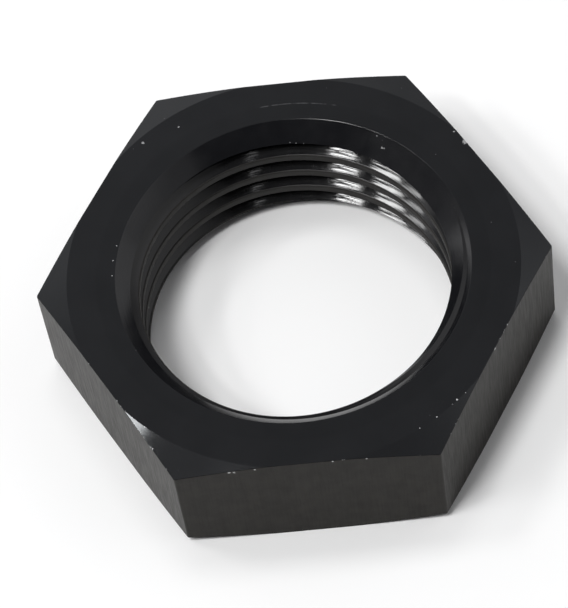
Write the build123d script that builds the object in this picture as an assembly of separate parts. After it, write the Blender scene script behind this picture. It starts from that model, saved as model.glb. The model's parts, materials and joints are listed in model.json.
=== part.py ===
from build123d import *
import os
from math import cos, radians, tan

# Bulkhead nut with a 7/8-14 internal thread, machined from one length of hexagon bar.
# The origin is the centre of the face that it lies on, and +Z runs up along the thread's axis.
# All lengths are in millimetres and all angles in degrees.

# Hexagon body
across_flats = 28.575
height = 8.74
corner_radius = 0.15

# Corner chamfer, turned alike on both faces: the flat ring is a little wider than the flats
rim_margin = 0.39
rim_angle = 15.0

# Thread: nominal diameter, threads to the inch, and its depth as a share of its pitch
thread_diameter = 22.225
threads_per_inch = 14
depth_share = 0.59

# Countersink that leads a tube fitting in at the top: wider than the thread at its mouth
sink_margin = 0.52
sink_angle = 90.0

# Lead chamfer at the bottom of the bore
lead_margin = 0.04
lead_angle = 90.0

# Sizes that follow from these
corner_reach = across_flats / 2 / cos(radians(30))
rim_radius = (across_flats + rim_margin) / 2
rim_drop = (corner_reach - rim_radius) * tan(radians(rim_angle))
pitch = 25.4 / threads_per_inch
thread_depth = pitch * depth_share
bore_radius = thread_diameter / 2 - thread_depth
sink_radius = (thread_diameter + sink_margin) / 2
sink_depth = (sink_radius - bore_radius) / tan(radians(sink_angle / 2))
lead_radius = (thread_diameter + lead_margin) / 2
lead_depth = (lead_radius - bore_radius) / tan(radians(lead_angle / 2))


def turned(section):
    """A solid of revolution about Z from its half section, given as (radius, height) points."""
    outline = Polyline(*section, close=True)
    return revolve(Plane.XZ * make_face(outline), Axis.Z)


def hexagon_bar():
    """The bar's length, with two flats square to Y and its corners just broken."""
    hexagon = RegularPolygon(radius=across_flats / 2, side_count=6, major_radius=False)
    bar = extrude(hexagon, amount=height)
    return fillet(bar.edges().filter_by(Axis.Z), corner_radius)


def chamfered_envelope():
    """The space inside both corner chamfers, which clips the hexagon in six curved arcs a face."""
    return turned([
        (0, 0),
        (rim_radius, 0),
        (corner_reach, rim_drop),
        (corner_reach, height - rim_drop),
        (rim_radius, height),
        (0, height),
    ])


def bore():
    """The tapping bore at the thread's minor diameter, with its countersink and lead chamfer."""
    return turned([
        (0, 0),
        (lead_radius, 0),
        (bore_radius, lead_depth),
        (bore_radius, height - sink_depth),
        (sink_radius, height),
        (0, height),
    ])


def bulkhead_nut():
    """The finished nut, in one piece."""
    return hexagon_bar() & chamfered_envelope() - bore()


os.makedirs("parts", exist_ok=True)
export_step(bulkhead_nut(), "parts/bulkhead_nut.step")
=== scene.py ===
# %% [markdown]
# # A black anodised bulkhead nut
#
# A bulkhead nut clamps a threaded tube fitting through a panel. This one is turned and tapped from a short
# length of aluminium hexagon bar and then anodised black. The solid that comes with the frame has the body
# and a plain bore. This lesson cuts the real thread into it, gives every surface the finish that its own
# tool left, and lights it softly on a white floor.

# %% Load the frame
import json
import math

import bmesh
import bpy
from mathutils import Matrix, Vector


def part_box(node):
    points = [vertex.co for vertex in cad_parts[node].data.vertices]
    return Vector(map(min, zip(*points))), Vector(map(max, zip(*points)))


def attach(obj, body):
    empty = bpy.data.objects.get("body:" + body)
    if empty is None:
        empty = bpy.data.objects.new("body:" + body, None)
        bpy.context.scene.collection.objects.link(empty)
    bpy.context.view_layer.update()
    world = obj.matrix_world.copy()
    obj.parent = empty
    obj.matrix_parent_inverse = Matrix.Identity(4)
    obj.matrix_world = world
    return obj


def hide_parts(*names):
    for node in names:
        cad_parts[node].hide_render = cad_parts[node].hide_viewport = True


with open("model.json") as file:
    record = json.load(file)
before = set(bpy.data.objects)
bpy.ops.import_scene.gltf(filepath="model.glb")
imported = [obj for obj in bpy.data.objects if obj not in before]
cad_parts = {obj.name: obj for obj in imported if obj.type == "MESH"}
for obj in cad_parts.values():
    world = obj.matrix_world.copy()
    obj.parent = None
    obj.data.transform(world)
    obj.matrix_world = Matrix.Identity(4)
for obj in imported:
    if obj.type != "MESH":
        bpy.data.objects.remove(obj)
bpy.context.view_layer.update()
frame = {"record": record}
MM = 0.001

# %% [markdown]
# ## The camera
#
# The camera comes first, so that every later step can be judged in the picture that it is made for. It
# looks down at the nut from the front with a long lens, as product pictures are taken, so the far side is
# hardly smaller than the near one. It is also tilted about its own line of sight, which is why the nut
# seems to lean in the picture. The rotation is built from the direction back to the camera, and the lean
# is added last.

# %% Set the camera
aim_point = Vector((-0.958, 0.01, 4.37)) * MM
camera_azimuth = math.radians(-84.707)
camera_elevation = math.radians(58.192)
camera_lean = math.radians(-10.073)
camera_distance = 226.61 * MM


def direction(azimuth, elevation):
    """The unit vector that points to an azimuth, counted from +X towards +Y, and an elevation."""
    level = math.cos(elevation)
    return Vector((level * math.cos(azimuth), level * math.sin(azimuth), math.sin(elevation)))


back = direction(camera_azimuth, camera_elevation)
camera_data = bpy.data.cameras.new("camera")
camera_data.sensor_width = 36.0
camera_data.lens = 207.84
camera = bpy.data.objects.new("camera", camera_data)
upright = (-back).to_track_quat("-Z", "Y").to_matrix()
camera.matrix_world = (
    Matrix.Translation(aim_point + back * camera_distance)
    @ (Matrix.Rotation(camera_lean, 3, back) @ upright).to_4x4()
)
bpy.context.scene.collection.objects.link(camera)
bpy.context.scene.camera = camera
print("Camera's right-hand direction:", [round(c, 4) for c in camera.matrix_world.col[0]])

# %% [markdown]
# ## The sizes
#
# The body's sizes are read from the frame, so the finished nut always fits the solid that it stands for.
# The rest are the turner's own sizes: how wide the chamfers are cut, and the thread, which is 14 to the
# inch. The profile of a thread this fine has three parts in each pitch: a crest, which is what is left of
# the bore's wall, a root at the bottom of the groove, and two flanks that lean 30 degrees each way.

# %% Read and name the sizes
low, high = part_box("bulkhead_nut")
height = high.z
half_flats = high.y
corner_reach = half_flats / math.cos(math.radians(30))
mounts = {mount["name"]: mount for mount in frame["record"]["mounts"]}
bore_radius = mounts["thread"]["dims"]["r_mm"] * MM
rim_radius = half_flats + 0.195 * MM
rim_slope = math.tan(math.radians(15))
thread_radius = 11.1125 * MM
sink_radius = thread_radius + 0.26 * MM
lead_radius = thread_radius + 0.02 * MM
pitch = 25.4 * MM / 14
flank_slope = math.tan(math.radians(30))
crest_flat = 0.28 * pitch
turn_steps = 360
body_sizes = (height, half_flats, bore_radius)
print("Height, half flats and bore radius in mm:", [round(size / MM, 4) for size in body_sizes])

# %% [markdown]
# ## The finishes, as empty names
#
# Each tool leaves its own surface, so the nut wears four finishes: the drawn flats of the bar, the faces
# that were turned in the lathe, the countersink, and the tapped thread. The boolean cuts below hand each
# cutter's finish to the faces that it makes, just as a real cutter does, so the materials have to exist
# before the cutting. Their nodes are added later.

# %% Name the finishes
finish_names = ("drawn_flats", "turned_faces", "countersink", "thread")
finishes = {name: bpy.data.materials.new(name) for name in finish_names}
for finish in finishes.values():
    finish.use_nodes = True
print("Finishes:", ", ".join(finish_names))

# %% [markdown]
# ## Helpers for turned work
#
# Nearly everything here is a body of revolution. A half section is drawn as a wire of a few points beside
# the axis, its corners are broken with a small vertex bevel, and the wire is spun. The same helper makes
# the outline of the blank, the countersink and the lead chamfer, so it is worth writing once.

# %% Draw a section and spin it
def wire(bm, points):
    """A chain of edges through points given as (radius, height), in the plane of +X and +Z."""
    chain = [bm.verts.new((radius, 0, z)) for radius, z in points]
    for start, end in zip(chain, chain[1:]):
        bm.edges.new((start, end))
    return chain


def break_corners(bm, corners, offset, segments):
    """Rounds corners of a wire; offset is how far along each side the round begins."""
    bmesh.ops.bevel(
        bm, geom=corners, offset=offset, offset_type="OFFSET", segments=segments,
        profile=0.5, affect="VERTICES", material=-1,
    )


def piece_from(bm, name, finish):
    """Ends the work on a bmesh: an object with that finish and its normals outwards."""
    bmesh.ops.remove_doubles(bm, verts=bm.verts, dist=1e-8)
    bmesh.ops.recalc_face_normals(bm, faces=bm.faces)
    mesh = bpy.data.meshes.new(name)
    bm.to_mesh(mesh)
    bm.free()
    mesh.materials.append(finishes[finish])
    made = bpy.data.objects.new(name, mesh)
    bpy.context.scene.collection.objects.link(made)
    return made


def turned(name, points, finish, rounds=()):
    """A body of revolution about Z. rounds holds (index of the point, offset, segments)."""
    bm = bmesh.new()
    chain = wire(bm, points)
    for index, offset, segments in rounds:
        break_corners(bm, [chain[index]], offset, segments)
    bmesh.ops.spin(
        bm, geom=list(bm.verts) + list(bm.edges), cent=(0, 0, 0), axis=(0, 0, 1),
        angle=math.tau, steps=turn_steps, use_merge=True,
    )
    return piece_from(bm, name, finish)


# %% [markdown]
# ## The blank
#
# The nut starts as a length of hexagon bar, which stands a little past both faces, because the lathe will
# face it to length. It could be an extruded drawing of the finished outline, but a six-sided circle that is
# pulled up into a prism is simpler. Its long corners are bevelled into small rounds, as the bar's die
# leaves them. At a corner of 120 degrees a round begins at its radius times the tangent of 30 degrees.

# %% Saw the bar
corner_radius = 0.15 * MM
corner_offset = corner_radius * math.tan(math.radians(30))
spare = 1.0 * MM


def hexagon_bar():
    bm = bmesh.new()
    bmesh.ops.create_circle(
        bm, cap_ends=True, segments=6, radius=corner_reach,
        matrix=Matrix.Translation((0, 0, -spare)) @ Matrix.Rotation(math.radians(30), 4, "Z"),
    )
    grown = bmesh.ops.extrude_face_region(bm, geom=list(bm.faces))
    top = [item for item in grown["geom"] if isinstance(item, bmesh.types.BMVert)]
    bmesh.ops.translate(bm, verts=top, vec=(0, 0, height + 2 * spare))
    long_edges = [edge for edge in bm.edges if abs(edge.verts[0].co.z - edge.verts[1].co.z) > height]
    bmesh.ops.bevel(
        bm, geom=long_edges, offset=corner_offset, offset_type="OFFSET", segments=16,
        profile=0.5, affect="EDGES", material=-1,
    )
    return piece_from(bm, "nut_body", "drawn_flats")


nut = hexagon_bar()
print("Bar's faces:", len(nut.data.polygons))

# %% [markdown]
# ## The turned envelope
#
# In the lathe both faces are cut flat and both rims are chamfered with a shallow cone. The space that the
# tools leave is a flat disc with a cone above and below, and the nut is what the bar and that space have in
# common. Where a cone runs out through a flat it leaves the curved arc that marks a chamfered nut. An exact
# boolean finds those arcs better than any bevel could, because they belong to no edge of the bar.

# %% Turn the envelope and keep what the two share
def cut(target, tool, operation):
    """Applies one exact boolean, which keeps the tool's finish on the faces it cuts. The tool is used up."""
    modifier = target.modifiers.new(operation, "BOOLEAN")
    modifier.operation = operation
    modifier.solver = "EXACT"
    modifier.material_mode = "TRANSFER"
    modifier.object = tool
    bpy.context.view_layer.update()
    shown = target.evaluated_get(bpy.context.evaluated_depsgraph_get())
    finished = bpy.data.meshes.new_from_object(shown)
    target.modifiers.clear()
    target.data = finished
    bpy.data.objects.remove(tool)
    return target


reach = corner_reach + spare
drop = (reach - rim_radius) * rim_slope
envelope = turned("envelope", [
    (0, 0),
    (rim_radius, 0),
    (reach, drop),
    (reach, height - drop),
    (rim_radius, height),
    (0, height),
], "turned_faces")
cut(nut, envelope, "INTERSECT")
print("Blank's faces:", len(nut.data.polygons), "finishes:", [m.name for m in nut.data.materials])

# %% [markdown]
# ## The thread
#
# The thread is cut as a tap cuts it. The tap's profile is a wire up its side with one crest and one root
# in each pitch. Spinning that wire through one full turn while it climbs by exactly one pitch brings its
# end up against its own start, one thread higher, so merging the doubles closes the whole surface without
# a seam. Its ragged ends are cut square, drawn in to the axis and closed, which makes it a solid that an
# exact boolean can subtract. A positive turn with a positive rise is a right-hand thread.

# %% Make the tap
crest_top_behind = 6.387 * MM
root_flat = pitch - crest_flat - 2 * (thread_radius - bore_radius) * flank_slope
crest_round = 0.05 * MM
root_round = 0.03 * MM


def thread_wire(bm, bottom, pitches):
    """The tap's side: from each crest out along a flank to the root and back in along the next."""
    points = []
    flank_rise = (thread_radius - bore_radius) * flank_slope
    for count in range(pitches):
        z = bottom + count * pitch
        points += [
            (bore_radius, z),
            (thread_radius, z + flank_rise),
            (thread_radius, z + flank_rise + root_flat),
            (bore_radius, z + 2 * flank_rise + root_flat),
        ]
    chain = wire(bm, points)
    inner = [vert for vert in chain[1:-1] if vert.co.x < bore_radius + 1e-6]
    outer = [vert for vert in chain[1:-1] if vert.co.x > bore_radius + 1e-6]
    break_corners(bm, inner, crest_round, 4)
    break_corners(bm, outer, root_round, 2)
    return chain


def cap_at(bm, z, outward):
    """Cuts the swept tap square at a height and closes it in a fan to the axis."""
    bmesh.ops.bisect_plane(
        bm, geom=list(bm.verts) + list(bm.edges) + list(bm.faces), plane_co=(0, 0, z),
        plane_no=(0, 0, outward), clear_outer=True, dist=1e-9,
    )
    rim = [edge for edge in bm.edges if edge.is_boundary and all(abs(v.co.z - z) < 1e-7 for v in edge.verts)]
    drawn = bmesh.ops.extrude_edge_only(bm, edges=rim)
    inner = [item for item in drawn["geom"] if isinstance(item, bmesh.types.BMVert)]
    bmesh.ops.pointmerge(bm, verts=inner, merge_co=(0, 0, z))


def tap():
    bm = bmesh.new()
    crest_top_at_start = crest_top_behind - pitch / 4
    below = math.ceil((crest_top_at_start + 2 * pitch) / pitch)
    thread_wire(bm, crest_top_at_start - below * pitch, below + 4)
    bmesh.ops.spin(
        bm, geom=list(bm.verts) + list(bm.edges), cent=(0, 0, 0), axis=(0, 0, 1),
        dvec=(0, 0, pitch / turn_steps), angle=math.tau, steps=turn_steps,
    )
    bmesh.ops.remove_doubles(bm, verts=bm.verts, dist=1e-6)
    cap_at(bm, height + spare / 2, 1)
    cap_at(bm, -spare / 2, -1)
    return piece_from(bm, "tap", "thread")


tool = tap()
print("Tap's faces:", len(tool.data.polygons), "root flat in mm:", round(root_flat / MM, 3))

# %% [markdown]
# ## Tapping the hole
#
# The tap is taken away from the blank in one cut, which makes the bore and its thread together. The tap
# stands past both faces, so the thread runs out of them cleanly, as it does behind a tap that goes right
# through.

# %% Tap the hole
cut(nut, tool, "DIFFERENCE")
print("Faces after tapping:", len(nut.data.polygons))

# %% [markdown]
# ## Countersink and lead chamfer
#
# A wide countersink leads the fitting in at the top, and a small chamfer clears the last thread below.
# Both are cones, cut after the thread, so they slice the thread's ridges into the fading spiral that shows
# at the start of any tapped hole. The countersink's rim is rounded where it meets the face, which leaves the
# mouth with a softly broken edge. The lead chamfer is hardly wider than the thread's roots, so its rim stays
# plain: a rounded one would only graze the last root, and a boolean can't close such a sliver.

# %% Countersink the top and the bottom
mouth_round = 0.03 * MM


def cone_cutter(name, mouth, face, outward, rounds=()):
    """A cone of 90 degrees with its mouth at the face, which runs to a point inside the nut."""
    return turned(name, [
        (0, face - outward * mouth),
        (mouth, face),
        (mouth + spare, face + outward * spare / 4),
        (0, face + outward * spare / 4),
    ], "countersink", rounds)


cut(nut, cone_cutter("countersink_tool", sink_radius, height, 1, [(1, mouth_round, 4)]), "DIFFERENCE")
cut(nut, cone_cutter("lead_tool", lead_radius, 0, -1), "DIFFERENCE")
print("Faces after countersinking:", len(nut.data.polygons))

# %% [markdown]
# ## Broken edges and clean shading
#
# Tumbling and anodising never leave a knife edge. A bevel of a few hundredths of a millimetre along the
# outer edges is under a pixel wide, yet it catches the light as the real edge does. Those edges are easy to
# find, because each one lies between a drawn flat and a turned face. The surfaces are shaded smooth, and
# an edge is marked sharp wherever one operation ended and the next began: that keeps the chamfers clean,
# although they lean only 15 degrees from the face. So is every edge that turns more than 5 degrees, or the
# tiny rounds on the thread would bend the shading of its flanks, and the flanks would miss the lamps.

# %% Break the outer edges and mark the sharp ones
edge_break = 0.045 * MM


def is_level(face):
    return abs(face.normal.z) > 0.99999


def is_sharp(edge):
    """True where the surface turns hard, or where a level face or another finish begins."""
    first, second = edge.link_faces
    if first.material_index != second.material_index or is_level(first) != is_level(second):
        return True
    return edge.calc_face_angle(0) > math.radians(5)


def finish_mesh(target):
    names = [material.name for material in target.data.materials]
    outer = {names.index("drawn_flats"), names.index("turned_faces")}
    bm = bmesh.new()
    bm.from_mesh(target.data)
    bmesh.ops.remove_doubles(bm, verts=bm.verts, dist=2e-8)
    bmesh.ops.dissolve_degenerate(bm, edges=bm.edges, dist=2e-8)
    bmesh.ops.recalc_face_normals(bm, faces=bm.faces)
    ends = [edge for edge in bm.edges if {face.material_index for face in edge.link_faces} == outer]
    broken = bmesh.ops.bevel(
        bm, geom=ends, offset=edge_break, offset_type="OFFSET", segments=2, profile=0.5,
        affect="EDGES", material=-1, clamp_overlap=True,
    )
    strip = set(broken["faces"])
    for face in bm.faces:
        face.smooth = True
    for edge in bm.edges:
        between = len(edge.link_faces) == 2 and (edge.link_faces[0] in strip) == (edge.link_faces[1] in strip)
        edge.smooth = edge.is_manifold and between and (edge.link_faces[0] in strip or not is_sharp(edge))
    open_edges = sum(not edge.is_manifold for edge in bm.edges)
    assert open_edges == 0, "the nut's mesh isn't closed"
    volume = bm.calc_volume()
    bm.to_mesh(target.data)
    bm.free()
    weighted = target.modifiers.new("even_normals", "WEIGHTED_NORMAL")
    weighted.keep_sharp = True
    weighted.weight = 100
    print("Edges broken:", len(ends), "open edges:", open_edges, "volume in mm3:", round(volume / MM**3, 1))


finish_mesh(nut)
nut_triangles = sum(len(face.vertices) - 2 for face in nut.data.polygons)
print("Triangles:", nut_triangles)

# %% [markdown]
# ## Calculating with wires
#
# A finish is a small calculation that Blender repeats at every point of the surface. Drawn as nodes even a
# short sum is hard to follow, so this class lets Python write it. A Wire stands for one output socket, and
# plus, minus and times on it add the Math node that does the same, also where a number comes first. Every
# other node comes from add, which sets the node's own settings first and then the values or wires of its
# sockets.

# %% A wire that Python can calculate with
class Wire:
    """One output socket in a node tree."""

    def __init__(self, tree, socket=None):
        self.tree = tree
        self.socket = socket

    def add(self, kind, settings=None, inputs=None, output=0):
        """A new node of that kind in the same tree, as a wire from one of its outputs."""
        node = self.tree.nodes.new("ShaderNode" + kind)
        for name, value in (settings or {}).items():
            setattr(node, name, value)
        for name, value in (inputs or {}).items():
            if isinstance(value, Wire):
                self.tree.links.new(value.socket, node.inputs[name])
            else:
                node.inputs[name].default_value = value
        return Wire(self.tree, node.outputs[output] if node.outputs else None)

    def sum(self, operation, first, second=0.0):
        """One Math node on one or two wires or numbers."""
        return self.add("Math", {"operation": operation}, {0: first, 1: second})

    def __add__(self, other):
        return self.sum("ADD", self, other)

    def __sub__(self, other):
        return self.sum("SUBTRACT", self, other)

    def __rsub__(self, other):
        return self.sum("SUBTRACT", other, self)

    def __mul__(self, other):
        return self.sum("MULTIPLY", self, other)

    def __abs__(self):
        return self.sum("ABSOLUTE", self)

    __radd__ = __add__
    __rmul__ = __mul__

    def larger(self, other):
        return self.sum("MAXIMUM", self, other)

    def smaller(self, other):
        return self.sum("MINIMUM", self, other)

    def ease(self, start, end, low=0.0, high=1.0):
        """Goes gently from low to high while the value goes from start to end."""
        return self.add("MapRange", {"interpolation_type": "SMOOTHSTEP"}, {
            "Value": self, "From Min": start, "From Max": end, "To Min": low, "To Max": high,
        })

    def stretched(self, x, y, z):
        """A vector wire with each axis multiplied by its own factor."""
        return self.add("VectorMath", {"operation": "MULTIPLY"}, {0: self, 1: (x, y, z)})

    def grain(self, scale, detail=2.0, roughness=0.5):
        """Noise at a vector wire, about 0.5, with that many grains to the unit."""
        return self.add("TexNoise", {}, {
            "Vector": self, "Scale": scale, "Detail": detail, "Roughness": roughness,
        })

    def tint(self, first, second):
        """A colour that goes from first to second as this mask goes from 0 to 1."""
        return self.add("Mix", {"data_type": "RGBA"}, {0: self, 6: first, 7: second}, output=2)


print("Operators:", ", ".join(name for name in vars(Wire) if name.startswith("__") and name != "__init__"))

# %% [markdown]
# ## Reading the place on the nut
#
# All the patterns are laid out in millimetres on the nut itself: up its height, out from its axis and
# across its flats. The distance to the nearest outer edge matters most, because edges lose their black
# first. The point's reach across each of the three pairs of flats says how near it is to a flat, and its
# height under the chamfer's cone says how near it is to a turned face. A point on the outside always has
# one of them at nought, so the larger of the two is its distance from the edge.

# %% Measure the place
height_mm, flats_mm, rim_mm, sink_mm, lead_mm = (
    length / MM for length in (height, half_flats, rim_radius, sink_radius, lead_radius)
)
cos_30 = math.cos(math.radians(30))


class Place:
    """Where a point lies on the nut, as wires in millimetres."""

    def __init__(self, material):
        self.start = Wire(material.node_tree)
        metres = self.start.add("TexCoord", output="Object")
        self.spot = metres.add("VectorMath", {"operation": "SCALE"}, {0: metres, "Scale": 1 / MM})
        self.x, self.y, self.z = (self.spot.add("SeparateXYZ", {}, {0: self.spot}, axis) for axis in range(3))
        squared = self.x * self.x + self.y * self.y
        self.radius = squared.sum("SQRT", squared)

    def outer_edge(self):
        """The distance along the surface to the nearest outer edge."""
        lean, other = self.x * cos_30, self.y * 0.5
        reach = abs(self.y).larger(abs(lean + other)).larger(abs(lean - other))
        sideways = flats_mm - reach
        under = height_mm / 2 - abs(self.z - height_mm / 2) - (self.radius - rim_mm).larger(0.0) * rim_slope
        return sideways.larger(under)

    def ring(self, radius):
        """The distance in and out from a circle about the axis."""
        return abs(self.radius - radius)

    def from_spot(self, spot):
        """The distance from one named spot."""
        return self.spot.add("VectorMath", {"operation": "DISTANCE"}, {0: self.spot, 1: spot}, output="Value")


# %% [markdown]
# ## Chips and nicks
#
# The black is a skin a few hundredths of a millimetre thick, on bright aluminium. Where the nut has knocked
# against others the skin is broken and the metal shows as a pale speck. Small chips are scattered along
# every edge by a noise that has to be stronger the further a point is from the edge, and two corners have
# had more knocks than the rest. The few larger nicks are placed one by one, each with its own size, and a
# second noise frays their outlines.

# %% Where the metal shows
nicks = {
    "turned_faces": [
        ((11.66, 8.24, 8.70), 0.19), ((11.03, 9.10, 8.74), 0.07), ((-9.19, 10.66, 8.74), 0.11),
        ((-6.82, 11.62, 8.74), 0.07), ((-11.16, 2.88, 8.74), 0.05), ((-11.44, 1.81, 8.74), 0.05),
        ((-11.54, 0.68, 8.74), 0.05), ((9.57, -10.81, 8.74), 0.055), ((9.28, -11.13, 8.74), 0.04),
        ((10.14, -10.38, 8.74), 0.045), ((8.24, -11.89, 8.74), 0.045), ((7.13, -12.56, 8.74), 0.04),
    ],
    "drawn_flats": [
        ((11.70, 8.30, 8.60), 0.20), ((-4.80, -14.29, 8.48), 0.09), ((-4.49, -14.29, 8.49), 0.10),
        ((12.23, -7.39, 8.66), 0.12), ((-3.19, -14.29, 8.56), 0.07), ((1.62, -14.29, 8.66), 0.08),
        ((3.70, -14.29, 8.60), 0.07),
    ],
    "countersink": [
        ((6.29, 8.78, 8.17), 0.08), ((6.42, 8.70, 8.19), 0.06), ((6.03, 9.48, 8.60), 0.05),
        ((0.33, 10.28, 7.65), 0.045), ((0.72, 10.22, 7.60), 0.035), ((1.22, 10.15, 7.57), 0.035),
        ((-6.52, -8.17, 7.82), 0.06),
    ],
    "thread": [((-9.89, 1.75, 2.69), 0.12)],
}
knocked_corners = [((-10.2, -10.9, 8.62), 3.4), ((10.7, 9.5, 8.70), 2.6)]
knocks = 0.13
chip_patches = 0.35
chip_fade = 2.2
chip_begins, chip_is_bare = 0.80, 0.86
nick_fray = 2.2


def bare_metal(place, name, edge):
    """A mask of chips along an edge, with the named nicks of that finish."""
    fine = place.spot.grain(4.2, detail=3.0, roughness=0.6)
    patches = place.spot.grain(0.5, detail=1.0)
    knocked = 0.0
    for corner, reach in knocked_corners:
        knocked = place.from_spot(corner).ease(reach, reach * 0.4) * knocks + knocked
    strength = fine + patches * chip_patches + knocked - edge * chip_fade
    mask = strength.ease(chip_begins, chip_is_bare)
    fray = place.spot.grain(9.0, detail=2.0)
    for spot, size in nicks[name]:
        distance = place.from_spot(spot) + (fray - 0.5) * (size * nick_fray)
        mask = mask.larger(distance.ease(size, size * 0.6))
    return mask


print("Nicks placed by hand:", sum(len(group) for group in nicks.values()))

# %% [markdown]
# ## Putting a finish together
#
# Every finish ends in the same shader: dyed black skin, with bare metal where the mask says so. The black
# takes its tint from the dye, its gloss from the tool that cut the metal, and a bump of a few thousandths
# of a millimetre from the tool's marks. The skin is aluminium oxide, which mirrors more than clear plastic
# where a tool has left it smooth, while the old skin of the bar is porous and mirrors far less. The mirrored
# light has a slight cast as well: warm on the old skin and cool on the turned faces.

# %% Wire up the shader
bare_tint = (0.46, 0.46, 0.47, 1)
bare_roughness = 0.35
bare_metallic = 0.9


def finish_with(name, place, black, gloss, marks, depth, bare, reflect, cast):
    """Joins a finish's wires to its shader.

    marks is a height from 0 to 1, and depth what 1 stands for in mm. bare is the mask of bare metal.
    reflect says how much the skin mirrors, and cast is the tint of what it mirrors.
    """
    shader = finishes[name].node_tree.nodes["Principled BSDF"]
    links = finishes[name].node_tree.links
    bump = place.start.add("Bump", {}, {"Strength": 1.0, "Distance": depth * MM, "Height": marks})
    shader.inputs["Specular IOR Level"].default_value = reflect
    shader.inputs["Specular Tint"].default_value = cast
    for socket, wire in (
        ("Base Color", bare.tint(black, bare_tint)),
        ("Roughness", bare.ease(0.0, 1.0) * bare_roughness + gloss * (1 - bare)),
        ("Metallic", bare * bare_metallic),
        ("Normal", bump),
    ):
        links.new(wire.socket, shader.inputs[socket])
    print(name, "has", len(finishes[name].node_tree.nodes), "nodes")


# %% [markdown]
# ## The drawn flats
#
# The flats are the bar's own skin: it was pulled through a die, so fine scratches run along it, which is up
# and down the finished nut. A bump from noise that is stretched twenty times along the height makes them,
# because each real scratch is far too fine to model. Under the dye this skin looks browner and duller than
# the cut faces.

# %% Finish the flats
place = Place(finishes["drawn_flats"])
fine_lines = place.spot.stretched(1, 1, 0.05).grain(9.0, detail=3.0, roughness=0.6)
broad_lines = place.spot.stretched(1, 1, 0.12).grain(1.6, detail=2.0)
blotches = place.spot.grain(0.9, detail=3.0, roughness=0.6)
finish_with(
    "drawn_flats", place,
    black=blotches.ease(0.3, 0.7).tint((0.0160, 0.0149, 0.0130, 1), (0.0225, 0.0207, 0.0180, 1)),
    gloss=fine_lines.ease(0.3, 0.7, 0.32, 0.44),
    marks=fine_lines * 0.7 + broad_lines * 0.3, depth=0.0045,
    bare=bare_metal(place, "drawn_flats", place.outer_edge()), reflect=0.08, cast=(1.0, 0.98, 0.94, 1),
)

# %% [markdown]
# ## The turned faces
#
# The lathe leaves rings. A one-dimensional noise that reads only the distance from the axis draws them, so
# they run round the face and its chamfers without a break. The ring outside the place where the tool dwelt
# is a shade paler. A short pale arc along that place at the back is a painted highlight, the glint of the
# dwell ring's groove. A face that has been handled also carries dust and tiny pits, which show as pale dots.

# %% Finish the turned faces
place = Place(finishes["turned_faces"])
rings = place.radius.add(
    "TexNoise", {"noise_dimensions": "1D"}, {"W": place.radius, "Scale": 7.0, "Detail": 3.0},
)
dwell_mm = 12.60
# Painted highlight: a pale arc along the dwell ring, only at the back of the face, stands for the glint of
# that ring's groove.
highlight_start, highlight_end, highlight_fade = -1.2, 3.35, 0.3
paler = place.radius.ease(dwell_mm - 0.08, dwell_mm + 0.08)
begun = place.x.ease(highlight_start - highlight_fade, highlight_start)
not_over = place.x.ease(highlight_end + highlight_fade, highlight_end)
at_the_back = place.y.ease(0.0, 1.0)
painted_highlight_arc = place.ring(dwell_mm).ease(0.06, 0.0) * (begun * not_over * at_the_back)
painted_highlight_arc = painted_highlight_arc * place.spot.grain(2.5).ease(0.3, 0.6)
satin = place.spot.grain(14.0, detail=2.0)
cells = place.spot.add("TexVoronoi", {}, {"Vector": place.spot, "Scale": 1.1}, output="Distance")
dust = cells.ease(0.060, 0.030) * place.spot.grain(0.8).ease(0.50, 0.56)
black = place.spot.grain(0.35).ease(0.3, 0.7, 0.0, 0.7) + paler * 0.4
black = black.tint((0.0084, 0.0087, 0.0098, 1), (0.0108, 0.0111, 0.0124, 1))
edge = place.outer_edge().smaller(place.ring(rim_mm) * 1.6 + 0.04).smaller(place.ring(sink_mm) * 1.3 + 0.03)
# The pale grey marks the dust and also the painted highlight along the dwell ring.
finish_with(
    "turned_faces", place,
    black=(dust * 0.5).larger(painted_highlight_arc * 0.6).tint(black, (0.11, 0.11, 0.115, 1)),
    gloss=satin.ease(0.3, 0.7, 0.075, 0.105),
    marks=rings * 0.5 + satin * 0.3, depth=0.0018,
    bare=bare_metal(place, "turned_faces", edge), reflect=0.62, cast=(0.95, 0.98, 1.0, 1),
)

# %% [markdown]
# ## The countersink
#
# A countersink scrapes as it turns and leaves a glossy cone, with fine rings that a fingernail would not
# feel. Seen across them, each ring catches the light at its own angle, and that smears a highlight along
# the slope of the cone.

# %% Finish the countersink
place = Place(finishes["countersink"])
grooves = place.radius.add(
    "TexNoise", {"noise_dimensions": "1D"}, {"W": place.radius, "Scale": 11.0, "Detail": 3.0},
)
wander = place.spot.grain(0.7)
rim_distance = place.ring(sink_mm).smaller(place.ring(lead_mm))
finish_with(
    "countersink", place,
    black=wander.ease(0.3, 0.7).tint((0.0072, 0.0074, 0.0088, 1), (0.0092, 0.0094, 0.0108, 1)),
    gloss=wander.ease(0.3, 0.7, 0.14, 0.20),
    marks=grooves + wander * 0.4, depth=0.0022,
    bare=bare_metal(place, "countersink", rim_distance * 1.5 + 0.03), reflect=0.5, cast=(1.0, 1.0, 1.0, 1),
)

# %% [markdown]
# ## The thread
#
# The tap burnishes the flanks to a high gloss, but its teeth leave fine grooves that run with the thread.
# To draw them, the pattern has to climb with the helix and still close on itself after a turn. So the
# place within one pitch is turned into an angle, and the noise reads its cosine and sine: after a whole
# turn the angle has grown by exactly one turn too, and no seam shows. These grooves split each lamp's
# reflection into a few bright streaks. The crests are different: the tap never touched them, so they keep
# the duller and browner surface that the drill left.

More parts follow.
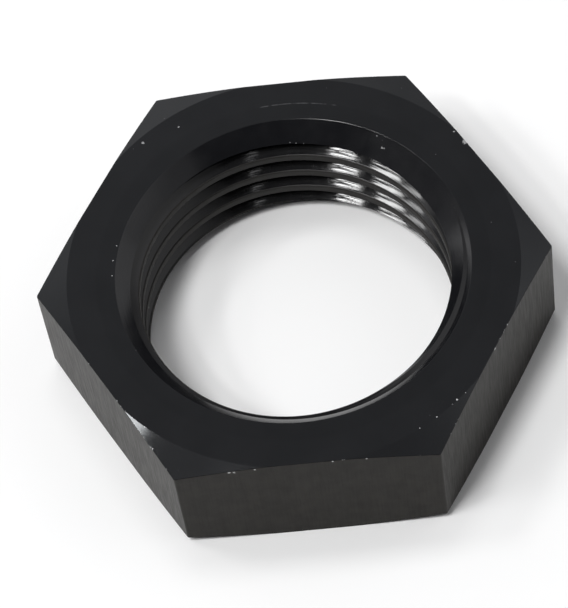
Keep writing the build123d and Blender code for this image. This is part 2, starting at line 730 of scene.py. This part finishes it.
# %% Finish the thread
place = Place(finishes["thread"])
turn = place.y.sum("ARCTAN2", place.y, place.x)
cycle = place.z * (math.tau * MM / pitch) - turn
around = {0: cycle.sum("COSINE", cycle) * 1.5, 1: cycle.sum("SINE", cycle) * 1.5, 2: place.radius * 3.2}
profile = place.start.add("CombineXYZ", {}, around)
drift = place.x * 0.26 + place.y * 0.18
grooves = place.start.add("TexNoise", {"noise_dimensions": "4D"}, {
    "Vector": profile, "W": drift, "Scale": 1.0, "Detail": 2.0, "Roughness": 0.5,
})
tears = place.spot.stretched(1, 1, 2).grain(1.7, detail=2.0)
crest = place.ring(bore_radius / MM).ease(0.12, 0.05)
burnished = tears.ease(0.3, 0.7).tint((0.0095, 0.0095, 0.0104, 1), (0.0115, 0.0115, 0.0124, 1))
finish_with(
    "thread", place,
    black=crest.tint(burnished, (0.0112, 0.0099, 0.0087, 1)),
    gloss=tears.ease(0.3, 0.7, 0.06, 0.10) + crest * 0.60,
    marks=grooves, depth=0.024,
    bare=bare_metal(place, "thread", place.ring(sink_mm)), reflect=0.42, cast=(1.0, 1.0, 1.0, 1),
)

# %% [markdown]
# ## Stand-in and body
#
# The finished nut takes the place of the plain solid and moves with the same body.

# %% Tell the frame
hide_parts("bulkhead_nut")
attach(nut, "root")

# %% [markdown]
# ## The floor
#
# The nut lies on a plain white sheet. The sheet is matt and lit by the lamps, so the nut's own shadow falls
# on it, and the black gloss mirrors just what the camera sees. Well beyond the shadow the sheet fades into
# pure white. Mirrors and glass see that white as the camera does, and only the light that the sheet
# scatters back keeps its true level, so the background adds no light to the nut.

# %% Lay the floor
floor_reach = 3.0
fade_start, fade_end = 34.0, 75.0
sheet_white = (0.97, 0.97, 0.97, 1)

bm = bmesh.new()
bmesh.ops.create_circle(bm, cap_ends=True, segments=96, radius=floor_reach)
floor_mesh = bpy.data.meshes.new("floor")
bm.to_mesh(floor_mesh)
bm.free()
floor = bpy.data.objects.new("floor", floor_mesh)
bpy.context.scene.collection.objects.link(floor)

sheet = bpy.data.materials.new("white_sheet")
sheet.use_nodes = True
sheet.node_tree.nodes.clear()
place = Place(sheet)
to_camera, to_mirror, to_glass = (
    place.start.add("LightPath", output="Is " + ray + " Ray") for ray in ("Camera", "Glossy", "Transmission")
)
seen = to_camera.larger(to_mirror).larger(to_glass)
lit = place.start.add("BsdfDiffuse", {}, {"Color": sheet_white})
white = place.start.add("Emission", {}, {"Color": (1, 1, 1, 1), "Strength": 1.0})
far_away = place.radius.ease(fade_start, fade_end)
shown = place.start.add("MixShader", {}, {0: far_away * seen, 1: lit, 2: white})
place.start.add("OutputMaterial", {}, {"Surface": shown})
floor_mesh.materials.append(sheet)
print("Sheet's nodes:", len(sheet.node_tree.nodes))

# %% [markdown]
# ## The lamps
#
# Four softboxes stand at the left, where the nut's own reflections say that they stood: one lights the tip
# of a chamfer, one the first group of glints in the thread, and two the second group and its taper. The
# main one hangs higher at the front left. No face mirrors it towards the camera, so it lights the sheet
# and throws the shadow at the right without a highlight of its own. The last one hangs high at the back
# and shades the sheet under the hole's far wall. With the room they bring the sheet to just under white. A
# lamp that fills a given angle keeps its look if it is moved away and enlarged, so the helper takes angles
# and works out the size and the power.

# %% Hang the lamps
lamp_distance = 0.6
softboxes = {  # azimuth, elevation, half width and half height in degrees, then radiance
    "chamfer_softbox": (156, 60, 5, 4, 13.0),
    "long_softbox": (200, 53.5, 6, 2.2, 24.0),
    "small_softbox": (228, 60, 4.2, 2.0, 44.0),
    "strip_softbox": (186, 47.5, 5.5, 1.8, 9.0),
    "main_softbox": (219, 71.5, 6, 5.5, 30.0),
    "back_softbox": (95, 75, 8, 6, 6.5),
}


def hang(name, azimuth, elevation, half_width, half_height, radiance):
    """A lamp that is seen from the nut at an azimuth and elevation, and fills those half angles."""
    away = direction(math.radians(azimuth), math.radians(elevation))
    across = away.cross(Vector((0, 0, 1))).normalized()
    lamp = bpy.data.lights.new(name, "AREA")
    lamp.shape = "RECTANGLE"
    lamp.size = 2 * lamp_distance * math.tan(math.radians(half_width))
    lamp.size_y = 2 * lamp_distance * math.tan(math.radians(half_height))
    lamp.energy = radiance * math.pi * lamp.size * lamp.size_y
    holder = bpy.data.objects.new(name, lamp)
    turned_to_nut = Matrix((across, away.cross(across), away)).transposed().to_4x4()
    holder.matrix_world = Matrix.Translation(away * lamp_distance) @ turned_to_nut
    bpy.context.scene.collection.objects.link(holder)
    print(name, "power in watts:", round(lamp.energy, 2))


for name, setting in softboxes.items():
    hang(name, *setting)

# %% [markdown]
# ## The room
#
# Black gloss shows the room more than it shows its own colour, so the room is part of the finish. It is a
# pale room, dimmer overhead, with soft glows where its walls are lit. Part of the left wall is shaded, and
# one place is nearly black: behind the camera and high up above it. That is what gives the far side of the
# countersink its deep black with sharp ends. A small window at the front right makes the faint glints at
# the left end of each thread. The picture's own background is the sheet, so the room needs no white of its
# own.

# %% Paint the room
world = bpy.data.worlds.new("studio")
bpy.context.scene.world = world
world.use_nodes = True
world.node_tree.nodes.clear()
start = Wire(world.node_tree)
look = start.add("TexCoord", output="Generated")
east, north, rise = (start.add("SeparateXYZ", {}, {0: look}, axis) for axis in range(3))


def side_of(azimuth):
    """Above nought for directions to the left of an azimuth, as seen from above."""
    angle = math.radians(azimuth)
    return north * math.cos(angle) - east * math.sin(angle)


def glow(azimuth, elevation, half_angle, strength):
    """A soft pale patch on the wall in one direction."""
    middle = direction(math.radians(azimuth), math.radians(elevation))
    nearness = start.add("VectorMath", {"operation": "DOT_PRODUCT"}, {0: look, 1: middle}, output="Value")
    return nearness.ease(math.cos(math.radians(half_angle)), 1.0) * strength


low_wall, high_wall, ceiling_drop = 0.29, 0.335, 0.21
glows = {  # azimuth, elevation and half angle in degrees, then strength
    "back": (115, 32, 32, 0.24),
    "right": (12, 45, 34, 0.50),
    "low_right": (28, 8, 24, 0.36),
    "low_left": (150, 1, 13, 0.8),
    "left": (180, 44, 10, 0.8),
    "high_left": (162, 69, 11, 0.12),
}
small_window = (298, 63, 2.4, 3.2)
shade_from, shade_to, shade_depth = 165, 216, 0.5
dark_from, dark_to, dark_depth = -144, -39, 0.88

room = rise.ease(0.0, 0.45, low_wall, high_wall) - rise.ease(0.45, 0.95, 0.0, ceiling_drop)
for setting in glows.values():
    room = room + glow(*setting)
shaded = side_of(shade_from).ease(0.0, 0.15) * (0 - side_of(shade_to)).ease(-0.05, 0.05)
room = room * (1 - shaded * rise.ease(0.62, 0.5) * shade_depth)
behind = side_of(dark_from).ease(0.0, 0.03) * (0 - side_of(dark_to)).ease(0.0, 0.03)
room = room * (1 - behind * rise.ease(0.92, 0.86) * dark_depth) + glow(*small_window)
pale = start.add("Background", {}, {"Color": (0.985, 0.985, 1.0, 1), "Strength": room})
start.add("OutputWorld", {}, {"Surface": pale})
bpy.context.scene.view_settings.view_transform = "Standard"
print("World's nodes:", len(world.node_tree.nodes))

# %% [markdown]
# ## The fit
#
# The dressed nut has to fit wherever the solid does, so its body was sized from the solid's own box.
